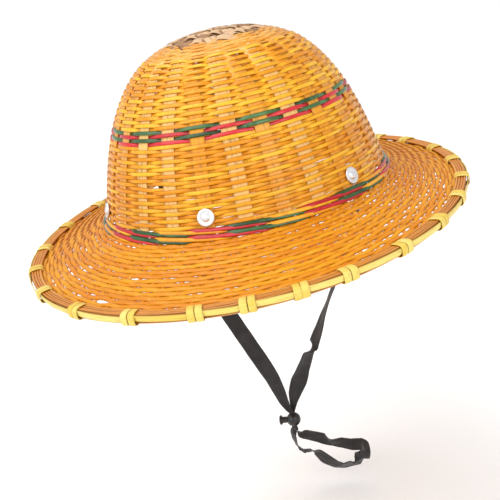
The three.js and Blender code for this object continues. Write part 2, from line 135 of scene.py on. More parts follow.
sectionForm = {
    "outerEnd": 163.2,
    "innerEnd": 111.4,
    "brimSteps": 90,
    "knee": (107.4, -2.4),  # the turn from brim to crown bends towards this corner
    "kneeSteps": 14,
    "crownLow": 5.0,
    "shoulder": 100.0,  # finer steps above this height
    "crownTop": 114.6,
    "crownSteps": 220,
    "shoulderSteps": 140,
    "crownFrom": -3.5,  # height at which the crown's share of the line begins
    "brimUpTo": 75,  # length at which the brim's share is over
    "slopeStep": 0.8,
}


def makeSection():  # the wall's middle line, from the rim in along the brim and up the crown
    form = sectionForm
    brim = np.linspace(form["outerEnd"], form["innerEnd"], form["brimSteps"])
    radius, height = [brim], [brimMiddle(brim)]
    up = np.concatenate([
        np.linspace(form["crownLow"], form["shoulder"], form["crownSteps"]),
        np.linspace(form["shoulder"] + 0.2, form["crownTop"], form["shoulderSteps"]),
    ])
    run = (crownRadius(up + 0.3) - crownRadius(up - 0.3)) / 0.6
    size = np.hypot(1, run)
    half = hatForm["wall"] / 2
    radius.append(crownRadius(up) - half / size)
    height.append(up + half * run / size)
    turnIn = np.linspace(0, 1, form["kneeSteps"])[1:-1]  # the turn from brim to crown, inside the lower band
    start = np.array([form["innerEnd"], brimMiddle(form["innerEnd"])])
    end = np.array([radius[1][0], height[1][0]])
    knee = np.array(form["knee"])
    share = turnIn[:, None]
    bend = (1 - share) ** 2 * start + 2 * share * (1 - share) * knee + share ** 2 * end
    radius.insert(1, bend[:, 0])
    height.insert(1, bend[:, 1])
    radius, height = np.concatenate(radius), np.concatenate(height)
    length = np.concatenate([[0], np.cumsum(np.hypot(np.diff(radius), np.diff(height)))])
    return {"length": length, "radius": radius, "height": height}


section = makeSection()


def sectionAt(length):
    radius = np.interp(length, section["length"], section["radius"])
    height = np.interp(length, section["length"], section["height"])
    ahead = length + sectionForm["slopeStep"]
    behind = length - sectionForm["slopeStep"]
    runR, runH = (
        np.interp(ahead, section["length"], section[key]) - np.interp(behind, section["length"], section[key])
        for key in ("radius", "height")
    )
    size = np.maximum(np.hypot(runR, runH), 1e-6)
    return radius, height, runR / size, runH / size


def lengthAtHeight(height):  # on the crown
    crown = section["height"] > sectionForm["crownFrom"]
    return float(np.interp(height, section["height"][crown], section["length"][crown]))


def lengthAtRadius(radius):  # on the brim
    brim = section["length"] < sectionForm["brimUpTo"]
    return float(np.interp(-radius, -section["radius"][brim], section["length"][brim]))


def wallSpot(angle, length, out, along=0.0):
    radius, height, runR, runH = sectionAt(length)
    return ovalPoint(radius + out * runH + along * runR, angle, height - out * runR + along * runH)


def newHeap():
    return {"points": [], "quads": [], "coords": [], "tones": [], "count": 0}


def roundSection(count, square=0.8):  # a strand's section, as across and out, from -0.5 to 0.5
    turn = (np.arange(count) + 0.5) * 2 * np.pi / count
    across = np.sign(np.cos(turn)) * np.abs(np.cos(turn)) ** square
    out = np.sign(np.sin(turn)) * np.abs(np.sin(turn)) ** square
    return across / across.max() / 2, out / out.max() / 2


def addStrand(heap, grid, closed=False, tone=0.5):
    stations, around = grid.shape[:2]
    index = np.arange(stations * around).reshape(stations, around) + heap["count"]
    following = np.roll(index, -1, 0)
    if not closed:
        index, following = index[:-1], following[:-1]
    quads = np.stack([index, np.roll(index, -1, 1), np.roll(following, -1, 1), following], -1)
    middle = grid.mean(1)
    step = np.linalg.norm(np.diff(middle, axis=0, append=middle[:1]), axis=1)
    start = np.concatenate([[0], np.cumsum(step)]) * mm + rng.uniform(0, 9)
    u0, u1 = start[:-1], start[1:]
    if not closed:
        u0, u1 = u0[:-1], u1[:-1]
    v0 = np.arange(around) / around
    v1 = v0 + 1 / around
    shape = quads.shape[:2]
    coords = np.stack([
        np.stack([np.broadcast_to(u0[:, None], shape), np.broadcast_to(v0, shape)], -1),
        np.stack([np.broadcast_to(u0[:, None], shape), np.broadcast_to(v1, shape)], -1),
        np.stack([np.broadcast_to(u1[:, None], shape), np.broadcast_to(v1, shape)], -1),
        np.stack([np.broadcast_to(u1[:, None], shape), np.broadcast_to(v0, shape)], -1),
    ], 2)
    quads, coords = quads.reshape(-1, 4), coords.reshape(-1, 4, 2)
    if not closed:  # flat ends
        half = around // 2
        k = np.arange(half - 1)
        end = np.stack([k, k + 1, around - 2 - k, around - 1 - k], -1)
        first = end[:, ::-1] + heap["count"]
        last = end + heap["count"] + (stations - 1) * around
        quads = np.concatenate([quads, first, last])
        flat = np.zeros((len(first), 4, 2))
        flat[..., 0], flat[..., 1] = u0[0], 0.5
        coords = np.concatenate([coords, flat, flat])
    a, b, d = (grid[0, 0], grid[0, 1], grid[1, 0])
    if np.dot(np.cross(b - a, d - a), a + b - 2 * middle[0]) < 0:
        quads, coords = quads[:, ::-1], coords[:, ::-1]
    heap["points"].append(grid.reshape(-1, 3))
    heap["quads"].append(quads)
    heap["coords"].append(coords)
    tones = np.broadcast_to(np.asarray(tone, float).reshape(-1, 1), (stations, around))
    heap["tones"].append(tones.reshape(-1))
    heap["count"] += stations * around


def makePiece(name, heap, finish, nodes):
    points = np.concatenate(heap["points"]) * mm
    quads = np.concatenate(heap["quads"]).astype(np.int32)
    mesh = bpy.data.meshes.new(name)
    mesh.vertices.add(len(points))
    mesh.vertices.foreach_set("co", points.ravel())
    mesh.loops.add(quads.size)
    mesh.loops.foreach_set("vertex_index", quads.ravel())
    mesh.polygons.add(len(quads))
    mesh.polygons.foreach_set("loop_start", np.arange(0, quads.size, 4, dtype=np.int32))
    mesh.update(calc_edges=True)
    layer = mesh.uv_layers.new(name="strand")
    layer.data.foreach_set("uv", np.concatenate(heap["coords"]).ravel())
    tone = mesh.attributes.new("tone", "FLOAT", "POINT")
    tone.data.foreach_set("value", np.concatenate(heap["tones"]))
    mesh.polygons.foreach_set("use_smooth", np.ones(len(quads), dtype=bool))
    mesh.validate()
    piece = bpy.data.objects.new(name, mesh)
    bpy.context.scene.collection.objects.link(piece)
    mesh.materials.append(finish)
    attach(piece, "root")
    if nodes:
        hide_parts(*nodes)
    print(name, len(quads) * 2, "triangles")
    return piece


def waver(angle, size, low=2, high=11):  # a small smooth wander that closes on itself
    wave = np.zeros_like(angle)
    for turns in range(low, high + 1):
        wave += rng.normal() * np.cos(turns * angle + rng.uniform(0, 6.28)) / (high - low + 1) ** 0.5
    return size * wave


def pushApart(angle, length, spots):  # rows part round a loose spot of the weave
    shift = np.zeros_like(angle)
    for spot in spots:
        away = length - spot["length"]
        turn = np.angle(np.exp(1j * (angle - spot["angle"])))
        reach = np.clip(1 - np.abs(turn) * spot["radius"] / spot["half"], 0, 1)
        fade = np.exp(-abs(away) / spot["spread"])
        shift += np.sign(away) * spot["opening"] / 2 * fade * smooth(0, 0.5, reach)
    return shift


weaveForm = {
    "frontEnds": 0.5,  # radians from the front within which a row weaves as at the front
    "sidesBegin": 1.3,  # and from which on it weaves as at the sides
    "crispness": 2.0,  # how abruptly a row passes from outside to inside
    "squareness": 0.62,
    "unevenness": 0.05,
}


# swing is how far a row stands out and in, and step how far it leans; a pair is for front and sides
def addRow(
    heap, length, width, thick, swing, stakeCount, side,
    spots=(), tone=None, wander=0.12, fine=6, step=(0, 0), sway=0,
):
    form = weaveForm
    angle = np.linspace(0, 2 * np.pi, stakeCount * fine, endpoint=False)
    beat = np.cos(stakeCount / 2 * angle) * side
    aside = smooth(form["frontEnds"], form["sidesBegin"], np.abs(np.angle(np.exp(1j * angle))))
    front, sides = np.broadcast_to(swing, 2)
    pressed = np.tanh(form["crispness"] * beat) / np.tanh(form["crispness"])
    out = (front + (sides - front) * aside) * pressed
    along = waver(angle, wander) + pushApart(angle, length, spots) + sway
    along = along + (step[0] + (step[1] - step[0]) * aside) * beat
    across, thickness = roundSection(8, form["squareness"])
    fat = 1 + waver(angle, form["unevenness"])
    spot = wallSpot(
        angle[:, None],
        length,
        out[:, None] + thickness * thick,
        along[:, None] + across * width * fat[:, None],
    )
    if tone is None:
        tone = np.clip(rng.uniform(0.2, 0.8) + waver(angle, 0.3, 1, 9), 0, 1)
    addStrand(heap, spot, closed=True, tone=tone)


def paint(red, green, blue):  # a colour as seen, from 0 to 255, to a shader's linear one
    def linear(value):
        value /= 255
        return value / 12.92 if value <= 0.04045 else ((value + 0.055) / 1.055) ** 2.4
    return (linear(red), linear(green), linear(blue), 1)


def addNode(tree, kind, inputs=None, **settings):
    node = tree.nodes.new(kind)
    for key, value in settings.items():
        setattr(node, key, value)
    for key, value in (inputs or {}).items():
        socket = node.inputs[key]
        if isinstance(value, bpy.types.NodeSocket):
            tree.links.new(value, socket)
        else:
            socket.default_value = value
    return node


def mixColour(tree, factor, first, second, blend="MIX"):
    node = tree.nodes.new("ShaderNodeMix")
    node.data_type = "RGBA"
    node.blend_type = blend
    for slot, value in ((0, factor), (6, first), (7, second)):
        if isinstance(value, bpy.types.NodeSocket):
            tree.links.new(value, node.inputs[slot])
        else:
            node.inputs[slot].default_value = value
    return node.outputs[2]


def calculate(tree, operation, first, second=0.5, clamp=False):
    node = addNode(tree, "ShaderNodeMath", operation=operation, use_clamp=clamp)
    for slot, value in enumerate((first, second)):
        if isinstance(value, bpy.types.NodeSocket):
            tree.links.new(value, node.inputs[slot])
        else:
            node.inputs[slot].default_value = value
    return node.outputs[0]


def ramp(tree, value, low, high):
    node = addNode(tree, "ShaderNodeMapRange", {"Value": value, "From Min": low, "From Max": high})
    node.interpolation_type = "SMOOTHSTEP"
    return node.outputs[0]


# the colour includes painted shade that darkens each strand along its two sides, where it meets its
# neighbours
def makeCaneGroup():  # colour and relief of split cane that runs along u
    group = bpy.data.node_groups.new("caneGrain", "ShaderNodeTree")
    face = group.interface
    for name, kind, value in (
        ("Body", "NodeSocketColor", (0.8, 0.4, 0.1, 1)),
        ("Pale", "NodeSocketColor", (0.9, 0.6, 0.3, 1)),
        ("Dark", "NodeSocketColor", (0.3, 0.12, 0.03, 1)),
        ("Streaks", "NodeSocketFloat", 0.4),
        ("Edges", "NodeSocketFloat", 0.5),
        ("Specks", "NodeSocketFloat", 0.5),
    ):
        socket = face.new_socket(name=name, in_out="INPUT", socket_type=kind)
        socket.default_value = value
    face.new_socket(name="Colour", in_out="OUTPUT", socket_type="NodeSocketColor")
    face.new_socket(name="Relief", in_out="OUTPUT", socket_type="NodeSocketFloat")
    given = group.nodes.new("NodeGroupInput").outputs
    result = group.nodes.new("NodeGroupOutput").inputs
    where = addNode(group, "ShaderNodeUVMap", uv_map="strand").outputs[0]
    parts = addNode(group, "ShaderNodeSeparateXYZ", {0: where}).outputs
    tone = addNode(group, "ShaderNodeAttribute", attribute_name="tone").outputs["Fac"]

    def noise(alongScale, roundScale, detail):
        spot = addNode(group, "ShaderNodeCombineXYZ", {
            0: calculate(group, "MULTIPLY", parts[0], alongScale),
            1: calculate(group, "MULTIPLY", parts[1], roundScale),
            2: calculate(group, "MULTIPLY", tone, 23.0),
        }).outputs[0]
        inputs = {"Vector": spot, "Scale": 1.0, "Detail": detail}
        return addNode(group, "ShaderNodeTexNoise", inputs).outputs[0]

    fibre = noise(90.0, 26.0, 3.0)
    drift = noise(22.0, 1.5, 2.0)
    speck = noise(260.0, 9.0, 1.0)
    wide = ramp(group, calculate(group, "ADD", tone, calculate(group, "SUBTRACT", drift, 0.5)), 0.15, 0.95)
    colour = mixColour(group, wide, given["Body"], given["Pale"])
    streak = calculate(group, "MULTIPLY", ramp(group, fibre, 0.5, 0.72), given["Streaks"], clamp=True)
    colour = mixColour(group, streak, colour, given["Dark"])
    # painted shade: the colour turns towards Dark along the strand's two sides, by the edge shade amount
    turned = calculate(group, "MULTIPLY", parts[1], 2 * math.pi)
    side = calculate(group, "ABSOLUTE", calculate(group, "COSINE", turned))
    rim = calculate(group, "MULTIPLY", ramp(group, side, 0.72, 1.0), given["Edges"], clamp=True)
    colour = mixColour(group, rim, colour, given["Dark"])
    dot = calculate(group, "MULTIPLY", ramp(group, speck, 0.74, 0.8), given["Specks"], clamp=True)
    colour = mixColour(group, dot, colour, given["Dark"])
    group.links.new(colour, result["Colour"])
    group.links.new(fibre, result["Relief"])
    return group


caneGroup = makeCaneGroup()


# edges is the strength of the painted shade along a strand's two sides
def caneFinish(
    name, body, pale, dark,
    streaks=0.35, edges=0.5, specks=0.6, roughness=0.36, coat=0.16, relief=0.25,
):
    material = bpy.data.materials.new(name)
    material.use_nodes = True
    tree = material.node_tree
    shader = tree.nodes["Principled BSDF"]
    grain = addNode(tree, "ShaderNodeGroup", node_tree=caneGroup)
    for key, value in (("Body", body), ("Pale", pale), ("Dark", dark)):
        grain.inputs[key].default_value = paint(*value)
    for key, value in (("Streaks", streaks), ("Edges", edges), ("Specks", specks)):
        grain.inputs[key].default_value = value
    tree.links.new(grain.outputs["Colour"], shader.inputs["Base Color"])
    bump = addNode(tree, "ShaderNodeBump", {
        "Strength": relief, "Distance": 0.0004, "Height": grain.outputs["Relief"]})
    tree.links.new(bump.outputs[0], shader.inputs["Normal"])
    rough = addNode(tree, "ShaderNodeMapRange", {
        "Value": grain.outputs["Relief"], "To Min": roughness - 0.08, "To Max": roughness + 0.12})
    tree.links.new(rough.outputs[0], shader.inputs["Roughness"])
    shader.inputs["Specular IOR Level"].default_value = 0.3
    shader.inputs["Coat Weight"].default_value = coat
    shader.inputs["Coat Roughness"].default_value = 0.22
    return material


# the edges value of each finish below sets its painted shade along the strands' sides
crownCane = caneFinish("crownCane", (229, 145, 2), (248, 188, 40), (128, 66, 6), roughness=0.3, coat=0.2)
coilCane = caneFinish("coilCane", (232, 150, 34), (243, 184, 84), (112, 56, 16), edges=0.85)
brimCane = caneFinish("brimCane", (218, 132, 2), (230, 156, 10), (112, 56, 6), edges=0.4, coat=0.06)
brimStakeCane = caneFinish(
    "brimStakeCane", (214, 122, 16), (230, 154, 52), (98, 52, 14), streaks=0.4, coat=0.08)
stakeCane = caneFinish(
    "stakeCane", (236, 156, 30), (242, 194, 118), (150, 122, 66),
    streaks=0.55, edges=0.2, roughness=0.45, coat=0.1)
greenCane = caneFinish(
    "greenCane", (26, 66, 28), (76, 122, 68), (10, 22, 10), streaks=0.3, roughness=0.26, coat=0.5)
redCane = caneFinish(
    "redCane", (184, 14, 28), (218, 44, 52), (84, 8, 14), streaks=0.3, roughness=0.26, coat=0.5)
rodCane = caneFinish("rodCane", (216, 138, 50), (240, 174, 84), (84, 44, 14), streaks=0.4, edges=0.6)
lashCane = caneFinish(
    "lashCane", (228, 194, 78), (238, 216, 118), (146, 88, 30),
    streaks=0.3, edges=0.3, roughness=0.42, coat=0.12)
paleCane = caneFinish(
    "paleCane", (160, 120, 84), (220, 182, 142), (92, 54, 30),
    streaks=0.45, edges=0.7, roughness=0.6, coat=0.0)
print("cane finishes made")


crownWeave = {
    "lowerRows": 23,
    "overlap": 0.2,  # how much wider a row is than its share of the wall
    "rowThick": 1.1,
    "swing": 1.06,
    "upperPitch": 2.45,
    "looseSpots": 34,
    "looseLow": 6.0,  # loose spots lie between these heights, more of them low down
    "looseHigh": 48.0,
    "opening": 0.6,
    "slitAngle": -20,  # one wide slit in the left front
    "slitHeight": 32.0,
    "slitHalf": 17.0,
    "slitOpening": 2.1,
}
upperBand = {
    "middle": 62.0,
    "rows": 4,
    "pitch": 2.5,
    "rowWidth": 2.5,
    "rowThick": 1.15,
    "swing": 1.12,
}
coilLow = 105.4
coilHigh = 114.0
lowerBandTop = 4.1


def makeLooseSpots():
    form, spots = crownWeave, []
    for _ in range(form["looseSpots"]):
        height = form["looseLow"] + (form["looseHigh"] - form["looseLow"]) * rng.beta(1.0, 3.2)
        spots.append({
            "angle": rng.uniform(-math.pi, math.pi),
            "length": lengthAtHeight(height),
            "radius": 108.0,
            "half": rng.uniform(5, 8),
            "opening": form["opening"] * rng.uniform(0.6, 1.25),
            "spread": 3.2,
        })
    spots.append({
        "angle": math.radians(form["slitAngle"]),
        "length": lengthAtHeight(form["slitHeight"]),
        "radius": 108.0,
        "half": form["slitHalf"],
        "opening": form["slitOpening"],
        "spread": 3.0,
    })
    return spots


looseSpots = makeLooseSpots()


def weaveCrown(name, low, high, rows, nodes):
    heap, form = newHeap(), crownWeave
    pitch = (high - low) / rows
    for row in range(rows):
        addRow(
            heap, low + (row + 0.5) * pitch, pitch + form["overlap"], form["rowThick"],
            form["swing"], hatForm["stakes"], 1 if row % 2 else -1, looseSpots,
        )
    makePiece(name, heap, crownCane, nodes)


bandHalf = upperBand["rows"] / 2 * upperBand["pitch"]
bandLow = lengthAtHeight(upperBand["middle"]) - bandHalf
bandHigh = lengthAtHeight(upperBand["middle"]) + bandHalf
weaveCrown("crownWeaveLower", lengthAtHeight(lowerBandTop), bandLow, crownWeave["lowerRows"], ["crown_lower"])
upperLength = lengthAtHeight(coilLow) - bandHigh
weaveCrown(
    "crownWeaveUpper", bandHigh, lengthAtHeight(coilLow), round(upperLength / crownWeave["upperPitch"]),
    ["crown_upper"],
)


def weaveUpperBand():
    form = upperBand
    for colour, finish, rows, side, nodes in (
        ("red", redCane, (0, 2), -1, ["upper_band"]),
        ("green", greenCane, (1, 3), 1, []),
    ):
        heap = newHeap()
        for row in rows:
            addRow(
                heap, bandLow + (row + 0.5) * form["pitch"], form["rowWidth"], form["rowThick"],
                form["swing"], hatForm["stakes"], side,
            )
        makePiece("upperBand" + colour.capitalize(), heap, finish, nodes)


weaveUpperBand()
print("crown woven")


lowerBand = {
    "rounds": 2,
    "roundPitch": 4.0,
    "rodWidth": 2.5,
    "rodThick": 1.5,
    "swing": 1.5,
    "rise": 1.5,
    "middle": 0.2,
    "dive": 0.3,  # share of the stakes' spacing that a rod takes to pass behind one
}


def weaveLowerBand():
    form = lowerBand
    dive = form["dive"]
    pitch = 2 * math.pi / hatForm["stakes"]
    angle = np.linspace(-math.pi + 0.01, math.pi - 0.01, hatForm["stakes"] * 14)
    centre = lengthAtHeight(form["middle"])
    across, thickness = roundSection(8)
    for colour, finish, behind in (("Green", greenCane, 0), ("Red", redCane, 2), ("Plain", crownCane, 1)):
        heap = newHeap()
        for turn in range(form["rounds"]):
            phase = np.mod(angle / pitch - behind, 3)  # stakes since the rod was last behind one
            near = np.minimum(phase, 3 - phase)
            front = smooth(0.12, 0.72, near)
            slide = np.where(phase < dive, phase / dive, np.where(
                phase > 3 - dive, (phase - 3) / dive, 1 - 2 * (phase - dive) / (3 - 2 * dive)))
            out = form["swing"] * (2 * front - 1) + 0.35 * slide * front
            along = form["rise"] * slide + (0.5 - turn) * form["roundPitch"] + waver(angle, 0.1)
            lean = 0.55 + 0.45 * front
            grid = wallSpot(
                angle[:, None],
                centre,
                out[:, None] + thickness * form["rodThick"] * lean[:, None],
                along[:, None] + across * form["rodWidth"] * lean[:, None],
            )
            addStrand(heap, grid, tone=np.clip(0.45 + waver(angle, 0.15), 0, 1))
        nodes = ["lower_band"] if colour == "Green" else []
        makePiece("lowerBand" + colour, heap, finish, nodes)


weaveLowerBand()
print("lower band twisted")


topCoil = {
    "rows": 9,
    "rowThick": 1.6,
    "swing": 0.3,
    "sway": 0.45,
    "lipRise": 0.8,
    "lipWidth": 2.6,
    "lipThick": 3.0,
    "lipSwing": 0.9,
}


def weaveCoil():
    heap, form = newHeap(), topCoil
    low, high = lengthAtHeight(coilLow), lengthAtHeight(coilHigh)
    pitch = (high - low) / form["rows"]
    sway = waver(np.linspace(0, 2 * np.pi, hatForm["stakes"] * 6, endpoint=False), form["sway"], 5, 16)
    for row in range(form["rows"]):
        addRow(
            heap, low + (row + 0.5) * pitch, pitch, form["rowThick"], form["swing"],
            hatForm["stakes"], 1 if row % 2 else -1, wander=0.16, sway=sway * row / form["rows"],
        )
    addRow(
        heap, high + form["lipRise"], form["lipWidth"], form["lipThick"], form["lipSwing"],
        hatForm["stakes"], -1, tone=0.75, wander=0.3, sway=sway,
    )
    makePiece("topCoilRows", heap, coilCane, ["top_coil"])


weaveCoil()


stakes = {
    "width": 9.6,
    "thick": 1.0,
    "pitch": 15.5,  # between parallel strips at the top
    "crossRadius": 40.0,
    "domeTop": 117.8,
    "interlace": 1.15,
    "clear": 3.0,  # a crossing nearer than this to a strip's end is left flat
    "domeLean": 0.007,
    "foot": -3.0,  # height at which they split for the brim
    "tailRadius": 47.0,  # the paler strips of the crossing show inside this radius
    "tones": (0.12, 0.3, 0.5, 0.95),
    "toneShares": (0.3, 0.25, 0.2, 0.25),
    "crossingTones": (0.05, 0.95),
}
stakeGroups = (
    {"turn": 0, "places": (-2, -1, 0, 1, 2)},
    {"turn": 60, "places": (-1.75, -0.75, 0.25, 1.25)},
    {"turn": 120, "places": (-1.25, -0.25, 0.75, 1.75)},
)


def listChords():
    chords, reach = [], stakes["crossRadius"]
    for group, row in enumerate(stakeGroups):
        turn = math.radians(row["turn"])
        run = np.array([math.cos(turn), math.sin(turn)])
        off = np.array([-run[1], run[0]])
        for place in row["places"]:
            offset = place * stakes["pitch"]
            half = math.sqrt(reach ** 2 - offset ** 2)
            chords.append({
                "group": group, "run": run, "off": off, "offset": offset, "half": half,
                "ends": (off * offset - run * half, off * offset + run * half),
            })
    return chords


def weaveHeight(chord, chords, travel):  # over one crossing group, under the other
    knots = [(-chord["half"], 0.0), (chord["half"], 0.0)]
    for other in chords:
        if other["group"] == chord["group"]:
            continue
        slope = float(np.dot(chord["run"], other["off"]))
        place = (other["offset"] - chord["offset"] * float(np.dot(chord["off"], other["off"]))) / slope
        if abs(place) < chord["half"] - stakes["clear"]:
            over = (other["group"] - chord["group"]) % 3 == 1
            knots.append((place, stakes["interlace"] if over else -stakes["interlace"]))
    knots.sort()
    at, high = np.array(knots).T
    left = np.clip(np.searchsorted(at, travel) - 1, 0, len(at) - 2)
    share = smooth(0, 1, (travel - at[left]) / (at[left + 1] - at[left]))
    return high[left] + (high[left + 1] - high[left]) * share


def matchStakes(chords):  # which end of which strip goes on down as which stake
    ends = [(math.atan2(end[0], -end[1]), chord, side)
            for chord, row in enumerate(chords) for side, end in enumerate(row["ends"])]
    ends.sort()
    count = hatForm["stakes"]
    best = None
    for shift in range(count):
        places = [(k + shift) * 2 * math.pi / count for k in range(count)]
        apart = [math.remainder(place - end[0], 2 * math.pi) for place, end in zip(places, ends)]
        cost = sum(a * a for a in apart)
        if best is None or cost < best[0]:
            best = (cost, apart)
    return {(end[1], end[2]): (end[0], best[1][k]) for k, end in enumerate(ends)}


def layStrip(heap, path, outward, tone):
    tangent = np.gradient(path, axis=0)
    tangent /= np.linalg.norm(tangent, axis=1)[:, None]
    across = np.cross(outward, tangent)
    across /= np.linalg.norm(across, axis=1)[:, None]
    normal = np.cross(tangent, across)
    u, t = roundSection(8, 0.45)
    wide = stakes["width"] * (1 + 0.04 * rng.normal())
    sideways = across[:, None] * (u * wide)[:, None]
    through = normal[:, None] * (t * stakes["thick"])[:, None]
    grid = path[:, None] + sideways + through
    addStrand(heap, toOval(grid), tone=tone)


def layStakes():
    chords = listChords()
    matched = matchStakes(chords)
    reach = stakes["crossRadius"]
    top = float(np.interp(-reach, -section["radius"], section["length"]))
    climb = np.linspace(lengthAtHeight(stakes["foot"]), top, 90)
    radius, height, runR, runH = sectionAt(climb)
    crown, cross = newHeap(), newHeap()
    for number, chord in enumerate(chords):
        legs, faces = [], []
        for side in (0, 1):
            end, apart = matched[(number, side)]
            angle = end + apart * (1 - smooth(-80, -reach, -radius))
            legs.append(np.stack([radius * np.sin(angle), -radius * np.cos(angle), height], -1))
            faces.append(np.stack([np.sin(angle) * runH, -np.cos(angle) * runH, -runR], -1))
            tone = rng.choice(stakes["tones"], p=stakes["toneShares"]) + rng.uniform(-0.08, 0.05)
            layStrip(crown, legs[side], faces[side], tone)
        travel = np.linspace(-chord["half"], chord["half"], 64)[1:-1]
        plan = chord["off"] * chord["offset"] + chord["run"] * travel[:, None]
        out = np.linalg.norm(plan, axis=1) / reach
        rise = height[-1] + (stakes["domeTop"] - height[-1]) * (1 - out ** 2)
        rise = rise + weaveHeight(chord, chords, travel)
        middle = np.concatenate([plan, rise[:, None]], 1)
        upward = np.concatenate([plan * stakes["domeLean"], np.ones((len(plan), 1))], 1)
        tail = radius < stakes["tailRadius"]
        path = np.concatenate([legs[0][tail], middle, legs[1][tail][::-1]])
        outward = np.concatenate([faces[0][tail], upward, faces[1][tail][::-1]])
        layStrip(cross, path, outward, rng.choice(stakes["crossingTones"]) + rng.uniform(-0.05, 0.05))
    makePiece("crownStakes", crown, stakeCane, [])
    makePiece("topCrossing", cross, paleCane, ["top_lattice"])


layStakes()
print("stakes laid over the top")


brimWeave = {
    "outer": 156.3,
    "innerGap": 0.6,  # between the inmost row and the lower band
    "rows": 17,
    "rowWidth": 2.8,
    "rowThick": 1.5,
    "swing": (0.4, 0.62),  # at the front and at the sides
    "step": (0.0, 0.22),  # how far rows lean apart beside every stake, at the front and at the sides
    "stakesEach": 3,  # the brim has this many narrow stakes for each wide one of the crown
    "stakeWidth": 3.2,
    "stakeThick": 0.7,
    "stakeOuter": 162.9,
    "stakeInnerHeight": -1.5,
    "looseSpots": 90,
    "opening": 1.0,
    "wideSpots": 4,
    "wideOpening": 2.0,
}


def weaveBrim():
    form = brimWeave
    count = hatForm["stakes"] * form["stakesEach"]
    outer = lengthAtRadius(form["outer"])
    bandEdge = lengthAtHeight(lowerBand["middle"]) - lowerBand["roundPitch"] / 2 - lowerBand["rise"]
    inner = bandEdge - form["innerGap"]
    spots = [{
        "angle": rng.uniform(0.35, 2 * math.pi - 0.45),
        "length": rng.uniform(outer, inner),
        "radius": 130.0,
        "half": rng.uniform(5, 9),
        "opening": form["opening"] * rng.uniform(0.4, 1.2),
        "spread": 4.0,
    } for _ in range(form["looseSpots"])]
    # a few wider gaps where the front left of the brim is worn
    spots += [{
        "angle": -math.radians(rng.uniform(10, 60)),
        "length": lengthAtRadius(rng.uniform(130, 148)),
        "radius": 140.0,
        "half": rng.uniform(5, 10),
        "opening": form["wideOpening"] * rng.uniform(0.8, 1.2),
        "spread": 2.6,
    } for _ in range(form["wideSpots"])]
    heap = newHeap()
    pitch = (inner - outer) / form["rows"]
    for row in range(form["rows"]):
        addRow(
            heap, outer + (row + 0.5) * pitch, form["rowWidth"], form["rowThick"], form["swing"],
            count, 1 if row % 2 else -1, spots, wander=0.26, fine=5, step=form["step"],
        )
    makePiece("brimRows", heap, brimCane, ["brim_weave"])
    heap = newHeap()
    line = np.linspace(lengthAtRadius(form["stakeOuter"]), lengthAtHeight(form["stakeInnerHeight"]), 40)
    radius = sectionAt(line)[0]
    u, t = roundSection(8, 0.5)
    for stake in range(count):
        angle = (stake + rng.normal() * 0.07) * 2 * math.pi / count
        swell = form["stakeWidth"] * (1 + 0.08 * rng.normal())
        turn = angle + (u * swell)[None] / (radius * 1.07)[:, None]
        grid = wallSpot(turn, line[:, None], (t * form["stakeThick"])[None])
        addStrand(heap, grid, tone=rng.uniform(0, 1))
    makePiece("brimStakes", heap, brimStakeCane, [])


weaveBrim()
print("brim woven")


rim = {
    "rods": 4,
    "rodRadius": 0.95,
    "rodInner": 155.8,
    "rodOuter": 163.2,
    "rodHeight": -14.95,
    "hoops": ((157.9, 2.5), (160.9, 3.2)),  # radius and width
    "hoopHeight": -19.5,
    "hoopThick": 2.0,
    "stripRadius": 164.2,
    "stripThick": 0.6,
    "stripWidth": 4.0,
    "stripHeight": -16.5,
    "stripGap": 0.6,  # degrees kept free beside each lashing
    "stripSteps": 22,
    "stripFall": 0.9,
    "wrapWidth": 4.9,
    "wrapThick": 0.55,
    "wrapHalfWide": 5.2,
    "wrapHalfHigh": 3.95,
    "wrapMiddle": (160.05, -17.2),
    "wrapApart": 2.55,
    "wrapSquareness": 0.62,
    "meanRadius": 172.0,  # turns a width along the oval rim into an angle
}
lashAngles = (
    2, 13, 24, 34.5, 49, 63, 77, 90, 104.5, 118.5, 133, 145, 159,
    173, 187, 200, 213, 226, 238, 250, 266, 282, 297, 313.5, 331, 347,
)  # degrees from the front, towards +X


def betweenLashes(angle):  # 0 at a lashing, 1 midway to the next
    marks = np.radians(np.array(lashAngles + (lashAngles[0] + 360,)))
    turned = np.mod(angle - marks[0], 2 * np.pi) + marks[0]
    left = np.clip(np.searchsorted(marks, turned, side="right") - 1, 0, len(marks) - 2)
    share = (turned - marks[left]) / (marks[left + 1] - marks[left])
    return np.sin(np.pi * share)


def layRods():
    form = rim
    angle = np.linspace(0, 2 * np.pi, 240, endpoint=False)
    u, t = roundSection(8, 1.0)
    heap = newHeap()
    pitch = (form["rodOuter"] - form["rodInner"]) / form["rods"]
    for rod in range(form["rods"]):
        radius = form["rodInner"] + (rod + 0.5) * pitch + waver(angle, 0.10) * betweenLashes(angle)
        lift = form["rodHeight"] + waver(angle, 0.18) * betweenLashes(angle)
        fat = form["rodRadius"] * (2 + waver(angle, 0.06))
        grid = ovalPoint(radius[:, None] + u * fat[:, None], angle[:, None], lift[:, None] + t * fat[:, None])
        addStrand(heap, grid, closed=True, tone=np.clip(rng.uniform(0.2, 0.7) + waver(angle, 0.2), 0, 1))
    makePiece("rimRods", heap, rodCane, ["rim_rods"])
    heap = newHeap()
    u, t = roundSection(8, 0.6)
    for hoop, width in form["hoops"]:
        grid = ovalPoint(
            hoop + waver(angle, 0.08)[:, None] + u * width,
            angle[:, None],
            form["hoopHeight"] + t * form["hoopThick"],
        )
        addStrand(heap, grid, closed=True, tone=np.clip(0.5 + waver(angle, 0.2), 0, 1))
    makePiece("rimHoop", heap, rodCane, ["rim_hoop"])


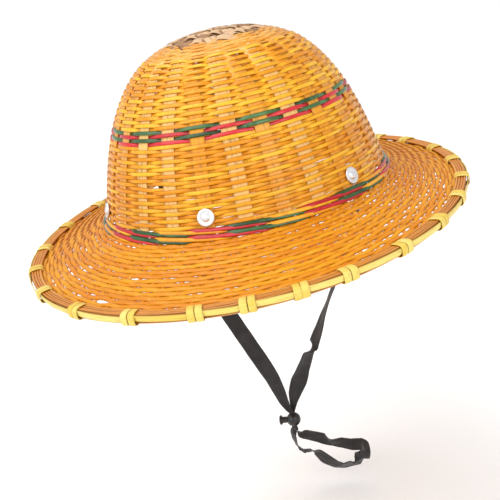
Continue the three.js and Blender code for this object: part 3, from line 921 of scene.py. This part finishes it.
def layEdgeStrip():
    form, heap = rim, newHeap()
    u, t = roundSection(8, 0.45)
    for left, right in zip(lashAngles, lashAngles[1:] + (lashAngles[0] + 360,)):
        angle = np.radians(np.linspace(left + form["stripGap"], right - form["stripGap"], form["stripSteps"]))
        share = np.linspace(0, 1, form["stripSteps"])
        bow = np.sin(np.pi * share) ** 0.6
        height = form["stripHeight"] + form["stripFall"] * (0.5 - share) + rng.normal() * 0.15
        width = form["stripWidth"] * (1 - 0.1 * (1 - bow)) * rng.uniform(0.9, 1.05)
        radius = form["stripRadius"] - 0.35 + 0.55 * bow
        grid = ovalPoint(
            radius[:, None] + t * form["stripThick"] + u * 0.5,
            angle[:, None],
            height[:, None] + u * width[:, None],
        )
        addStrand(heap, grid, tone=rng.uniform(0.2, 0.9))
    makePiece("edgeStripRuns", heap, lashCane, ["edge_strip"])


def wrapRim(heap, angle, skew):
    form = rim
    turn = np.linspace(0, 2 * np.pi, 36, endpoint=False)
    bend = form["wrapSquareness"]
    wide = np.sign(np.cos(turn)) * np.abs(np.cos(turn)) ** bend * form["wrapHalfWide"]
    high = np.sign(np.sin(turn)) * np.abs(np.sin(turn)) ** bend * form["wrapHalfHigh"]
    stepR, stepH = np.gradient(wide), np.gradient(high)
    size = np.hypot(stepR, stepH)
    outR, outH = stepH / size, -stepR / size
    u, t = roundSection(10, 0.5)
    crowned = t * form["wrapThick"] + 0.12 * (1 - (2 * u) ** 2)
    middleR, middleH = form["wrapMiddle"]
    radius = middleR + wide[:, None] + outR[:, None] * crowned
    height = middleH + high[:, None] + outH[:, None] * crowned
    shift = (u * form["wrapWidth"])[None] + (skew * wide / form["wrapHalfWide"])[:, None]
    grid = ovalPoint(radius, angle + shift / form["meanRadius"], height)
    addStrand(heap, grid, closed=True, tone=np.clip(rng.uniform(0.1, 0.9) + waver(turn, 0.08), 0, 1))


def lashRim():
    heap = newHeap()
    for angle in lashAngles:
        middle = math.radians(angle)
        skew = rng.uniform(-0.9, 0.9)
        for side in (-1, 1):
            turn = middle + side * rim["wrapApart"] / rim["meanRadius"] * rng.uniform(0.95, 1.1)
            wrapRim(heap, turn, skew + rng.uniform(-0.3, 0.3))
    names = [f"lash_{number:02d}" for number in range(1, len(lashAngles) + 1)]
    makePiece("rimLashings", heap, lashCane, names)


layRods()
layEdgeStrip()
lashRim()
print("rim lashed")


rivet = {
    "height": 11.0,
    "capRadius": 5.8,
    "capThick": 1.1,
    "capSeat": 0.35,
    "grip": 3.4,
    "postRadius": 1.6,
    "washerRadius": 4.6,
    "washerThick": 0.9,
    "profile": ((0.6, 0.25), (1.6, -0.5), (0.55, 0.0), (0.35, 0.55), (0.4, 0.45), (0.55, 0.3), (0.6, 0.12)),
}
rivetPlaces = (
    ("rivet_front", 0, 0.0),
    ("rivet_front_right", 58, 0.0),
    ("rivet_back_right", 122, 2.2),
    ("rivet_back", 180, 0.0),
    ("rivet_back_left", 238, 2.2),
    ("rivet_front_left", 302, 0.0),
)  # node, angle from the front, thickness of ribbon held under the washer


def crownSpot(angle, height):
    return ovalPoint(crownRadius(height), angle, height)


def wallPlace(angle, height):  # point on the crown, with its outward, sideways and downward directions
    turn = math.radians(angle)
    point = crownSpot(turn, height)
    along = crownSpot(turn + 0.01, height) - point
    upward = crownSpot(turn, height + 1) - point
    outward = np.cross(along, upward)
    outward /= np.linalg.norm(outward)
    return point, outward, along / np.linalg.norm(along), -upward / np.linalg.norm(upward)


def steelFinish():
    material = bpy.data.materials.new("rivetSteel")
    material.use_nodes = True
    tree = material.node_tree
    shader = tree.nodes["Principled BSDF"]
    where = addNode(tree, "ShaderNodeTexCoord").outputs["Object"]
    scuff = addNode(tree, "ShaderNodeTexNoise", {"Vector": where, "Scale": 900.0, "Detail": 3.0}).outputs[0]
    colour = mixColour(tree, scuff, paint(246, 247, 250), paint(226, 228, 232))
    tree.links.new(colour, shader.inputs["Base Color"])
    rough = addNode(tree, "ShaderNodeMapRange", {"Value": scuff, "To Min": 0.2, "To Max": 0.42})
    tree.links.new(rough.outputs[0], shader.inputs["Roughness"])
    shader.inputs["Metallic"].default_value = 0.7
    return material


rivetSteel = steelFinish()


def selectOnly(piece):
    bpy.ops.object.select_all(action="DESELECT")
    piece.select_set(True)
    bpy.context.view_layer.objects.active = piece


def modelRivet(grip):
    bpy.ops.object.select_all(action="DESELECT")
    bpy.ops.mesh.primitive_cylinder_add(
        vertices=40, radius=rivet["capRadius"], depth=rivet["capThick"],
        location=(0, 0, rivet["capSeat"] + rivet["capThick"] / 2))
    cap = bpy.context.object
    bpy.ops.object.mode_set(mode="EDIT")
    bpy.ops.mesh.select_mode(type="FACE")
    bpy.ops.mesh.select_all(action="DESELECT")
    edit = bmesh.from_edit_mesh(cap.data)
    for face in edit.faces:
        face.select = face.normal.z > 0.9
    bmesh.update_edit_mesh(cap.data)
    for inset, lift in rivet["profile"]:  # rolled edge, dished ring and raised middle
        bpy.ops.mesh.inset(thickness=inset)
        bpy.ops.transform.translate(value=(0, 0, lift))
    bpy.ops.mesh.select_mode(type="EDGE")
    bpy.ops.mesh.select_all(action="DESELECT")
    edit = bmesh.from_edit_mesh(cap.data)
    for edge in edit.edges:
        ends = [vert.co for vert in edge.verts]
        edge.select = all(math.hypot(p.x, p.y) > rivet["capRadius"] - 0.05 for p in ends) and abs(
            ends[0].z - ends[1].z) < 0.01
    bmesh.update_edit_mesh(cap.data)
    bpy.ops.mesh.bevel(offset=0.3, segments=3)
    bpy.ops.object.mode_set(mode="OBJECT")
    bpy.ops.mesh.primitive_cylinder_add(
        vertices=24, radius=rivet["postRadius"], depth=grip + 1.0, location=(0, 0, 0.5 - grip / 2))
    post = bpy.context.object
    bpy.ops.mesh.primitive_cylinder_add(
        vertices=32, radius=rivet["washerRadius"], depth=rivet["washerThick"],
        location=(0, 0, -grip - 0.3 - rivet["washerThick"] / 2))
    washer = bpy.context.object
    selectOnly(washer)
    bevel = washer.modifiers.new("edge", "BEVEL")
    bevel.width, bevel.segments = 0.25, 3
    bpy.ops.object.modifier_apply(modifier=bevel.name)
    for part in (cap, post, washer):
        part.select_set(True)
    bpy.context.view_layer.objects.active = cap
    bpy.ops.object.join()
    return cap


def fitRivets():
    modelled = {}
    for node, angle, held in rivetPlaces:
        point, outward = wallPlace(angle, rivet["height"])[:2]
        if held not in modelled:
            modelled[held] = modelRivet(rivet["grip"] + held)
        piece = modelled[held].copy()
        piece.data = piece.data.copy()
        bpy.context.scene.collection.objects.link(piece)
        words = node.split("_")
        piece.name = words[0] + "".join(word.capitalize() for word in words[1:])
        turn = Vector((0, 0, 1)).rotation_difference(Vector(outward)).to_matrix().to_4x4()
        piece.matrix_world = (
            Matrix.Translation(Vector(point) * mm) @ turn @ Matrix.Scale(mm, 4) @ piece.matrix_world)
        selectOnly(piece)
        bpy.ops.object.transform_apply(location=True, rotation=True, scale=True)
        bpy.ops.object.shade_smooth_by_angle(angle=math.radians(40))
        piece.data.materials.clear()
        piece.data.materials.append(rivetSteel)
        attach(piece, "root")
        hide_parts(node)
    for model in modelled.values():
        bpy.data.objects.remove(model)


fitRivets()
print("rivets set")


# Rows along the ribbon below each rivet and round the loop: x, y, z of its middle, lean of its
# width in the X-Z plane and depth towards -Y in degrees, gathered width, gathered thickness.
leftLimb = [
    (-0.0830, 0.0575, -0.0250, 0, -52, 0.0150, 0.0012),
    (-0.0794, 0.0573, -0.0450, 1, -45, 0.0150, 0.0012),
    (-0.0745, 0.0570, -0.0650, 2, -38, 0.0150, 0.0012),
    (-0.0696, 0.0568, -0.0820, 2, -29, 0.0150, 0.0012),
    (-0.0640, 0.0565, -0.1000, 3, -20, 0.0150, 0.0012),
    (-0.0594, 0.0562, -0.1145, 3, -10, 0.0150, 0.0012),
    (-0.0545, 0.0560, -0.1290, 4, 0, 0.0150, 0.0012),
    (-0.0473, 0.0560, -0.1470, 8, 0, 0.0150, 0.0012),
    (-0.0402, 0.0560, -0.1640, 15, 0, 0.0150, 0.0012),
    (-0.0332, 0.0560, -0.1810, 18, 0, 0.0150, 0.0012),
    (-0.0276, 0.0560, -0.1960, 14, 8, 0.0145, 0.0013),
    (-0.0240, 0.0555, -0.2090, 14, 14, 0.0130, 0.0014),
    (-0.0215, 0.0550, -0.2190, 20, 10, 0.0100, 0.0016),
    (-0.0180, 0.0544, -0.2285, 16, 6, 0.0052, 0.0022),
    (-0.0162, 0.0550, -0.2326, 0, 0, 0.0034, 0.0017),
]
strapLoop = [
    (-0.0160, 0.0550, -0.2392, 0, 0, 0.0034, 0.0017),
    (-0.0159, 0.0550, -0.2454, 0, 0, 0.0034, 0.0017),
    (-0.0149, 0.0545, -0.2500, 0, 50, 0.0070, 0.0014),
    (-0.0115, 0.0530, -0.2525, -5, 68, 0.0120, 0.0012),
    (-0.0060, 0.0520, -0.2535, -12, 80, 0.0150, 0.0012),
    (0.0040, 0.0515, -0.2565, -30, 77, 0.0150, 0.0012),
    (0.0105, 0.0520, -0.2595, -42, 72, 0.0150, 0.0012),
    (0.0150, 0.0540, -0.2645, 30, 70, 0.0150, 0.0012),
    (0.0240, 0.0540, -0.2655, -20, 78, 0.0150, 0.0012),
    (0.0335, 0.0545, -0.2685, -48, 74, 0.0150, 0.0012),
    (0.0415, 0.0560, -0.2700, -66, 78, 0.0150, 0.0012),
    (0.0428, 0.0580, -0.2750, -180, 60, 0.0150, 0.0012),
    (0.0410, 0.0596, -0.2800, -184, 22, 0.0150, 0.0012),
    (0.0390, 0.0610, -0.2875, -190, 20, 0.0150, 0.0012),
    (0.0358, 0.0620, -0.2910, -204, 58, 0.0150, 0.0012),
    (0.0315, 0.0635, -0.2935, -220, 32, 0.0150, 0.0012),
    (0.0260, 0.0655, -0.2960, -250, 42, 0.0150, 0.0012),
    (0.0205, 0.0665, -0.2980, -290, 40, 0.0150, 0.0012),
    (0.0125, 0.0665, -0.2960, -300, 30, 0.0150, 0.0012),
    (0.0040, 0.0660, -0.2895, -312, 22, 0.0150, 0.0012),
    (-0.0025, 0.0655, -0.2810, -318, 34, 0.0150, 0.0012),
    (-0.0080, 0.0650, -0.2785, -312, 62, 0.0150, 0.0012),
    (-0.0145, 0.0640, -0.2780, -308, 66, 0.0140, 0.0012),
    (-0.0190, 0.0620, -0.2720, -315, 64, 0.0140, 0.0012),
    (-0.0203, 0.0600, -0.2640, -325, 58, 0.0130, 0.0012),
    (-0.0198, 0.0583, -0.2555, -342, 46, 0.0090, 0.0014),
    (-0.0178, 0.0576, -0.2496, -360, 15, 0.0050, 0.0018),
    (-0.0162, 0.0570, -0.2454, -360, 0, 0.0034, 0.0017),
    (-0.0160, 0.0570, -0.2392, -360, 0, 0.0034, 0.0017),
]
rightLimb = [
    (0.0815, 0.0570, -0.0220, 0, 62, 0.0150, 0.0012),
    (0.0750, 0.0566, -0.0420, -2, 66, 0.0150, 0.0012),
    (0.0670, 0.0560, -0.0620, -5, 70, 0.0150, 0.0012),
    (0.0594, 0.0555, -0.0790, -12, 74, 0.0150, 0.0012),
    (0.0510, 0.0550, -0.0960, -20, 78, 0.0150, 0.0012),
    (0.0436, 0.0545, -0.1110, -30, 80, 0.0150, 0.0012),
    (0.0355, 0.0540, -0.1260, -40, 82, 0.0150, 0.0012),
    (0.0290, 0.0530, -0.1390, -40, 72, 0.0150, 0.0012),
    (0.0225, 0.0520, -0.1530, -18, 60, 0.0150, 0.0012),
    (0.0180, 0.0512, -0.1615, 8, 50, 0.0150, 0.0012),
    (0.0166, 0.0510, -0.1645, 10, 50, 0.0150, 0.0012),
    (0.0146, 0.0510, -0.1672, 10, 88, 0.0150, 0.0012),
    (0.0122, 0.0512, -0.1696, 8, 130, 0.0150, 0.0012),
    (0.0090, 0.0516, -0.1750, 4, 134, 0.0150, 0.0012),
    (0.0014, 0.0540, -0.1900, 8, 150, 0.0150, 0.0012),
    (-0.0046, 0.0560, -0.2020, -4, 176, 0.0145, 0.0013),
    (-0.0100, 0.0572, -0.2130, 4, 168, 0.0120, 0.0014),
    (-0.0132, 0.0580, -0.2220, 6, 172, 0.0075, 0.0018),
    (-0.0148, 0.0582, -0.2285, 0, 174, 0.0048, 0.0022),
    (-0.0159, 0.0570, -0.2326, 0, 180, 0.0034, 0.0017),
]
ribbon = {
    "width": 0.015,
    "thick": 0.0006,
    "tail": 0.007,
    "seat": 0.001,
    "wall": 0.00315,
    "step": 0.0013,
    "pleats": 3,
    "softness": 0.4,
    "flatThick": 0.0012,  # a row no thicker than this has no pleats
    "points": 15,  # across its width
    "creases": ((0.00012, 0.0031, 4), (0.0001, 0.0083, -3)),  # height, run and slant
    "heldBy": (238, 122),  # degrees of the rivets at its left and right ends
}


def anchorRows(angle):  # the ribbon lies inside the wall under the rivet's washer
    point, outward, along, down = wallPlace(angle, rivet["height"])
    depth = ribbon["wall"] + ribbon["seat"] + ribbon["thick"] / 2
    rows = []
    for slide in (-ribbon["tail"], 0, ribbon["tail"]):
        middle = point * mm - outward * depth + down * slide
        rows.append((middle, -along, ribbon["width"], ribbon["flatThick"]))
    return rows


def routeRows(table):
    rows = []
    for x, y, z, lean, depth, wide, thick in table:
        lean, depth = math.radians(lean), math.radians(depth)
        flat = math.cos(depth)
        across = np.array((flat * math.cos(lean), -math.sin(depth), flat * math.sin(lean)))
        rows.append((np.array((x, y, z)), across, wide, thick))
    return rows


# a curve through the rows' values that stays a little creased at each
def throughRows(values, at, steps):
    values = np.asarray(values, float)
    slopes = np.gradient(values, at, axis=0) * ribbon["softness"]
    left = np.clip(np.searchsorted(at, steps, side="right") - 1, 0, len(at) - 2)
    span = at[left + 1] - at[left]
    share = (steps - at[left]) / span
    shape = (len(steps),) + (1,) * (values.ndim - 1)
    share, span = share.reshape(shape), span.reshape(shape)
    return ((2 * share ** 3 - 3 * share ** 2 + 1) * values[left]
            + (share ** 3 - 2 * share ** 2 + share) * span * slopes[left]
            + (3 * share ** 2 - 2 * share ** 3) * values[left + 1]
            + (share ** 3 - share ** 2) * span * slopes[left + 1])


def ribbonFinish():
    material = bpy.data.materials.new("strapRibbon")
    material.use_nodes = True
    tree = material.node_tree
    shader = tree.nodes["Principled BSDF"]
    where = addNode(tree, "ShaderNodeUVMap", uv_map="strand").outputs[0]
    parts = addNode(tree, "ShaderNodeSeparateXYZ", {0: where}).outputs
    rib = calculate(tree, "SINE", calculate(tree, "MULTIPLY", parts[0], 2 * math.pi / 0.0007))
    warp = calculate(tree, "SINE", calculate(tree, "MULTIPLY", parts[1], 2 * math.pi * 44))
    weave = calculate(
        tree, "ADD", calculate(tree, "MULTIPLY", rib, 0.35), calculate(tree, "MULTIPLY", warp, 0.2))
    along = calculate(tree, "MULTIPLY", parts[0], 60.0)
    spot = addNode(tree, "ShaderNodeCombineXYZ", {0: along, 1: parts[1]})
    dust = addNode(
        tree, "ShaderNodeTexNoise", {"Vector": spot.outputs[0], "Scale": 1.6, "Detail": 4.0}).outputs[0]
    # colour lighter where the rib relief stands high and darker in its hollows: painted shade following the
    # ribs, added to random dust patches
    ribShadeAndDust = calculate(tree, "ADD", calculate(tree, "MULTIPLY", weave, 0.25), dust)
    tree.links.new(
        mixColour(tree, ramp(tree, ribShadeAndDust, 0.25, 0.85), paint(24, 22, 22), paint(50, 46, 46)),
        shader.inputs["Base Color"])
    bump = addNode(tree, "ShaderNodeBump", {"Strength": 0.4, "Distance": 0.0002, "Height": weave})
    tree.links.new(bump.outputs[0], shader.inputs["Normal"])
    shader.inputs["Roughness"].default_value = 0.82
    shader.inputs["Sheen Weight"].default_value = 0.25
    shader.inputs["Sheen Roughness"].default_value = 0.4
    return material


def layRibbon(bead):
    leftRivet, rightRivet = ribbon["heldBy"]
    rows = (anchorRows(leftRivet) + routeRows(leftLimb) + routeRows(strapLoop)
            + routeRows(rightLimb)[::-1] + anchorRows(rightRivet)[::-1])
    middles = np.array([row[0] for row in rows])
    at = np.concatenate([[0], np.cumsum(np.linalg.norm(np.diff(middles, axis=0), axis=1))])
    steps = np.linspace(0, at[-1], int(at[-1] / ribbon["step"]))
    middle = throughRows(middles, at, steps)
    facing = [row[1] for row in rows]
    for k in range(1, len(facing)):
        if np.dot(facing[k], facing[k - 1]) < 0:
            facing[k] = -facing[k]
    across = throughRows(facing, at, steps)
    wide = throughRows([row[2] for row in rows], at, steps)
    thick = throughRows([row[3] for row in rows], at, steps)
    tangent = np.gradient(middle, axis=0)
    tangent /= np.linalg.norm(tangent, axis=1)[:, None]
    across -= tangent * np.sum(across * tangent, axis=1)[:, None]
    across /= np.linalg.norm(across, axis=1)[:, None]
    normal = np.cross(tangent, across)
    side = np.linspace(-1, 1, ribbon["points"])
    pleat = np.sin(side * ribbon["pleats"] * math.pi)
    gather = np.clip(thick - ribbon["flatThick"], 0, None)
    crease = sum(
        size * np.sin(steps[:, None] / run + side * slant) for size, run, slant in ribbon["creases"])
    lift = gather[:, None] * pleat / 2 + crease
    half = ribbon["thick"] / 2
    flat = middle[:, None] + across[:, None] * (side * wide[:, None] / 2)[..., None]
    upper = flat + normal[:, None] * (lift + half)[..., None]
    lower = flat + normal[:, None] * (lift - half)[..., None]
    grid = np.concatenate([upper, lower[:, ::-1]], 1)
    heap = newHeap()
    addStrand(heap, grid / mm)
    nodes = ["chin_strap_left", "chin_strap_right", "chin_strap_loop"]
    piece = makePiece("chinStrap", heap, ribbonFinish(), nodes)


bead = {
    "middle": (-16.0, 56.0, -239.0),
    "radius": 6.5,
    "neck": 2.9,
    "neckLength": 5.0,
    "button": 4.4,
}


def beadFinish():
    material = bpy.data.materials.new("beadBlack")
    material.use_nodes = True
    tree = material.node_tree
    shader = tree.nodes["Principled BSDF"]
    where = addNode(tree, "ShaderNodeTexCoord").outputs["Object"]
    wear = addNode(tree, "ShaderNodeTexNoise", {"Vector": where, "Scale": 600.0, "Detail": 3.0}).outputs[0]
    tree.links.new(mixColour(tree, wear, paint(16, 16, 17), paint(34, 33, 34)), shader.inputs["Base Color"])
    rough = addNode(tree, "ShaderNodeMapRange", {"Value": wear, "To Min": 0.24, "To Max": 0.4})
    tree.links.new(rough.outputs[0], shader.inputs["Roughness"])
    shader.inputs["Coat Weight"].default_value = 0.15
    return material


def modelBead():
    bpy.ops.object.select_all(action="DESELECT")
    bpy.ops.mesh.primitive_uv_sphere_add(segments=32, ring_count=20, radius=bead["radius"])
    ball = bpy.context.object
    bpy.ops.object.mode_set(mode="EDIT")
    for side in (1, -1):  # open both poles down to the bore
        edit = bmesh.from_edit_mesh(ball.data)
        for vert in edit.verts:
            vert.select = vert.co.z * side > bead["radius"] * 0.9
        edit.select_flush(True)
        bmesh.update_edit_mesh(ball.data)
        bpy.ops.mesh.delete(type="VERT")
    bpy.ops.mesh.select_mode(type="EDGE")
    bpy.ops.mesh.select_all(action="DESELECT")
    bpy.ops.mesh.select_non_manifold()
    bpy.ops.mesh.bridge_edge_loops(number_cuts=4, interpolation="LINEAR")
    bpy.ops.object.mode_set(mode="OBJECT")
    bpy.ops.mesh.primitive_cylinder_add(
        vertices=28, radius=bead["neck"], depth=bead["neckLength"], rotation=(0, math.pi / 2, 0),
        location=(-bead["radius"] - 1.0, 0, 0))
    knob = bpy.context.object
    bpy.ops.object.mode_set(mode="EDIT")
    bpy.ops.mesh.select_mode(type="FACE")
    edit = bmesh.from_edit_mesh(knob.data)
    for face in edit.faces:
        face.select = face.normal.z < -0.9
    bmesh.update_edit_mesh(knob.data)
    share = bead["button"] / bead["neck"]
    for grow, push in ((1.15, 0.6), (share / 1.15, 0.8), (1.0, 0.9), (0.86, 0.4), (0.5, 0.2)):
        bpy.ops.mesh.extrude_region_move(TRANSFORM_OT_translate={"value": (-push, 0, 0)})
        bpy.ops.transform.resize(value=(1, grow, grow))
    bpy.ops.object.mode_set(mode="OBJECT")
    ball.select_set(True)
    bpy.context.view_layer.objects.active = ball
    bpy.ops.object.join()
    ball.name = "strapBead"
    ball.matrix_world = (
        Matrix.Translation(Vector(bead["middle"]) * mm) @ Matrix.Scale(mm, 4) @ ball.matrix_world)
    selectOnly(ball)
    bpy.ops.object.transform_apply(location=True, rotation=True, scale=True)
    bpy.ops.object.shade_smooth_by_angle(angle=math.radians(50))
    ball.data.materials.clear()
    ball.data.materials.append(beadFinish())
    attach(ball, "root")
    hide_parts("strap_bead")
    return ball


layRibbon(modelBead())
print("strap hung")


studio = {
    "floorHeight": -0.318,
    "floorSize": 24.0,
    "world": 0.62,
    "aim": (0, 0, 0.02),
}
lamps = (
    {"name": "keyLight", "kind": "SUN", "spot": (-1.1, -1.5, 2.0), "size": 1.2, "power": 1.8},
    {"name": "fillLight", "kind": "AREA", "spot": (1.8, -1.6, 1.1), "size": 1.6, "power": 17},
    {"name": "topLight", "kind": "AREA", "spot": (-0.5, 0.5, 1.9), "size": 0.9, "power": 9},
)


def layFloor():
    bpy.ops.object.select_all(action="DESELECT")
    bpy.ops.mesh.primitive_plane_add(size=studio["floorSize"], location=(0, 0, studio["floorHeight"]))
    floor = bpy.context.object
    floor.name = "floor"
    material = bpy.data.materials.new("floorPaper")
    material.use_nodes = True
    shader = material.node_tree.nodes["Principled BSDF"]
    shader.inputs["Base Color"].default_value = (1.0, 1.0, 1.0, 1)
    shader.inputs["Roughness"].default_value = 0.9
    floor.data.materials.append(material)


def lightScene():
    world = bpy.data.worlds.new("studio")
    bpy.context.scene.world = world
    world.use_nodes = True
    tree = world.node_tree
    seen = addNode(tree, "ShaderNodeLightPath").outputs["Is Camera Ray"]
    power = addNode(
        tree, "ShaderNodeMapRange", {"Value": seen, "To Min": studio["world"], "To Max": 1.0}).outputs[0]
    background = tree.nodes["Background"].inputs
    background["Color"].default_value = (1, 1, 1, 1)
    tree.links.new(power, background["Strength"])
    for row in lamps:
        data = bpy.data.lights.new(row["name"], row["kind"])
        data.energy = row["power"]
        if row["kind"] == "SUN":
            data.angle = row["size"]
        else:
            data.shape = "DISK"
            data.size = row["size"]
        lamp = bpy.data.objects.new(row["name"], data)
        bpy.context.scene.collection.objects.link(lamp)
        aim = Vector(studio["aim"]) - Vector(row["spot"])
        turn = aim.to_track_quat("-Z", "Y").to_matrix().to_4x4()
        lamp.matrix_world = Matrix.Translation(row["spot"]) @ turn
    bpy.context.scene.view_settings.view_transform = "Standard"


layFloor()
lightScene()
print("scene lit")
